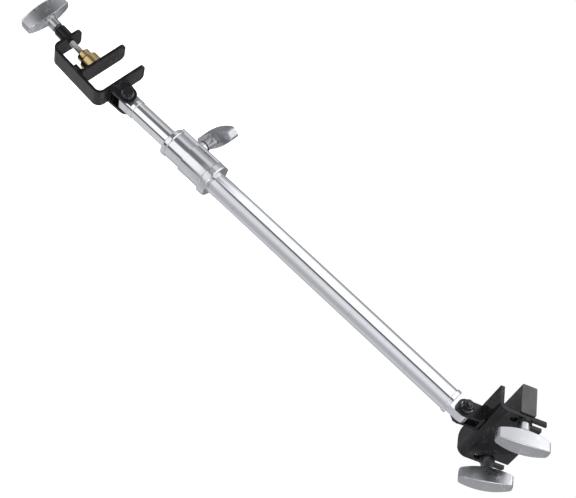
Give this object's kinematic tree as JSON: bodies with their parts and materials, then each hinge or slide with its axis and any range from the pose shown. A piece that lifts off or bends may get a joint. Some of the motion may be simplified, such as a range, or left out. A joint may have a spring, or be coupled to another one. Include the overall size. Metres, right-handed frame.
{
  "type": "telescopic stand brace",
  "caption": "Telescopic chrome brace with a locking collar, a black C-clamp hinged to one end and a two-handle plate clamp hinged to the other.",
  "frame": {"origin": "middle of the C-clamp's seat, the inner face of its fixed leg, on the clamp screw's axis", "axes": "+Z out of the seat's back towards the arm, along the clamp screw; +X towards the C-clamp's open side; +Y across the flat bar"},
  "size_m": [0.1488, 0.1334, 0.8655],
  "materials": {
    "black_paint": "semi-gloss black powder coat",
    "brass": "turned brass",
    "steel": "zinc-plated steel",
    "cast_silver": "satin polished zinc casting",
    "black_bolt": "black oxide steel",
    "chrome": "bright chrome plate",
    "collar_chrome": "chrome-plated casting",
    "nylon": "natural nylon",
    "black_plastic": "moulded black plastic",
    "grey_paint": "dark grey powder coat"
  },
  "bodies": {
    "frame": {"c_frame": "black_paint", "screw_boss": "black_paint", "seat_bracket": "black_paint", "seat_pivot_bolt": "black_bolt", "seat_pivot_nut": "black_bolt", "seat_pivot_washers": "steel"},
    "jaw": {"sliding_jaw": "black_paint", "brass_swivel": "brass", "swivel_pin": "steel"},
    "clamp_screw": {"clamp_screw": "steel", "clamp_handle": "cast_silver"},
    "inner_arm": {"seat_fitting": "chrome", "inner_tube": "chrome", "inner_tube_bush": "nylon"},
    "bush": {"collar_bush": "nylon"},
    "outer_arm": {"outer_tube": "chrome", "collar_body": "collar_chrome", "beam_fitting": "chrome"},
    "lock_shoe": {"lock_shoe": "brass"},
    "lock_screw": {"lock_screw": "steel", "lock_spacer": "black_plastic", "lock_handle": "cast_silver"},
    "beam_clamp": {"beam_plate": "black_paint", "beam_bracket": "black_paint", "beam_pivot_bolt": "black_bolt", "beam_pivot_nut": "black_bolt", "beam_pivot_washers": "steel"},
    "bar": {"sliding_bar": "grey_paint", "bar_end_caps": "black_plastic", "bar_nut_plates": "steel", "beam_studs": "steel"},
    "washer_a": {"beam_washer_a": "black_bolt"},
    "handle_a": {"beam_handle_a": "cast_silver"},
    "washer_b": {"beam_washer_b": "black_bolt"},
    "handle_b": {"beam_handle_b": "cast_silver"}
  },
  "joints": [
    {"name": "seat_pivot", "type": "hinge", "parent": "frame", "child": "inner_arm", "pos_m": [0, 0, 0.0243], "axis": [0, 1, 0], "range_deg": [-88, 82]},
    {"name": "telescope", "type": "slide", "parent": "inner_arm", "child": "bush", "axis": [0.0654, 0, 0.9979], "range_m": [-0.05, 0.34]},
    {"name": "arm_twist", "type": "hinge", "parent": "bush", "child": "outer_arm", "pos_m": [0.00654, 0, 0.12409], "axis": [0.0654, 0, 0.9979], "range_deg": [-180, 180]},
    {"name": "beam_pivot", "type": "hinge", "parent": "outer_arm", "child": "beam_clamp", "pos_m": [0.03806, 0, 0.60505], "axis": [0.2784, 0.9603, -0.0182], "range_deg": [-115, 58]},
    {"name": "jaw_slide", "type": "slide", "parent": "frame", "child": "jaw", "axis": [0, 0, 1], "range_m": [-0.02167, 0.00278]},
    {"name": "clamp_screw_turn", "type": "hinge", "parent": "jaw", "child": "clamp_screw", "pos_m": [0, 0, -0.1], "axis": [0, 0, 1], "range_deg": [-6250, 810]},
    {"name": "shoe_slide", "type": "slide", "parent": "outer_arm", "child": "lock_shoe", "axis": [0.9827, -0.1736, -0.0644], "range_m": [0, 0.00375]},
    {"name": "lock_turn", "type": "hinge", "parent": "lock_shoe", "child": "lock_screw", "pos_m": [0.03687, -0.00521, 0.13513], "axis": [0.9827, -0.1736, -0.0644], "range_deg": [0, 1090]},
    {"name": "bar_slide", "type": "slide", "parent": "beam_clamp", "child": "bar", "axis": [0.5288, -0.1374, 0.8376], "range_m": [-0.013, 0.016]},
    {"name": "washer_a_drop", "type": "slide", "parent": "bar", "child": "washer_a", "axis": [-0.8018, 0.2428, 0.546], "range_m": [0, 0.00875]},
    {"name": "handle_a_turn", "type": "hinge", "parent": "washer_a", "child": "handle_a", "pos_m": [0.06775, 0.0342, 0.66558], "axis": [-0.8018, 0.2428, 0.546], "range_deg": [0, 2530]},
    {"name": "washer_b_drop", "type": "slide", "parent": "bar", "child": "washer_b", "axis": [-0.8018, 0.2428, 0.546], "range_m": [0, 0.00875]},
    {"name": "handle_b_turn", "type": "hinge", "parent": "washer_b", "child": "handle_b", "pos_m": [0.04186, -0.05511, 0.66728], "axis": [-0.8018, 0.2428, 0.546], "range_deg": [0, 2530]}
  ],
  "couplings": [
    {"joint": "clamp_screw_turn", "follows": "jaw_slide", "rad_per_m": 5026.5},
    {"joint": "lock_turn", "follows": "shoe_slide", "rad_per_m": 5026.5},
    {"joint": "handle_a_turn", "follows": "washer_a_drop", "rad_per_m": 5026.5},
    {"joint": "handle_b_turn", "follows": "washer_b_drop", "rad_per_m": 5026.5}
  ]
}
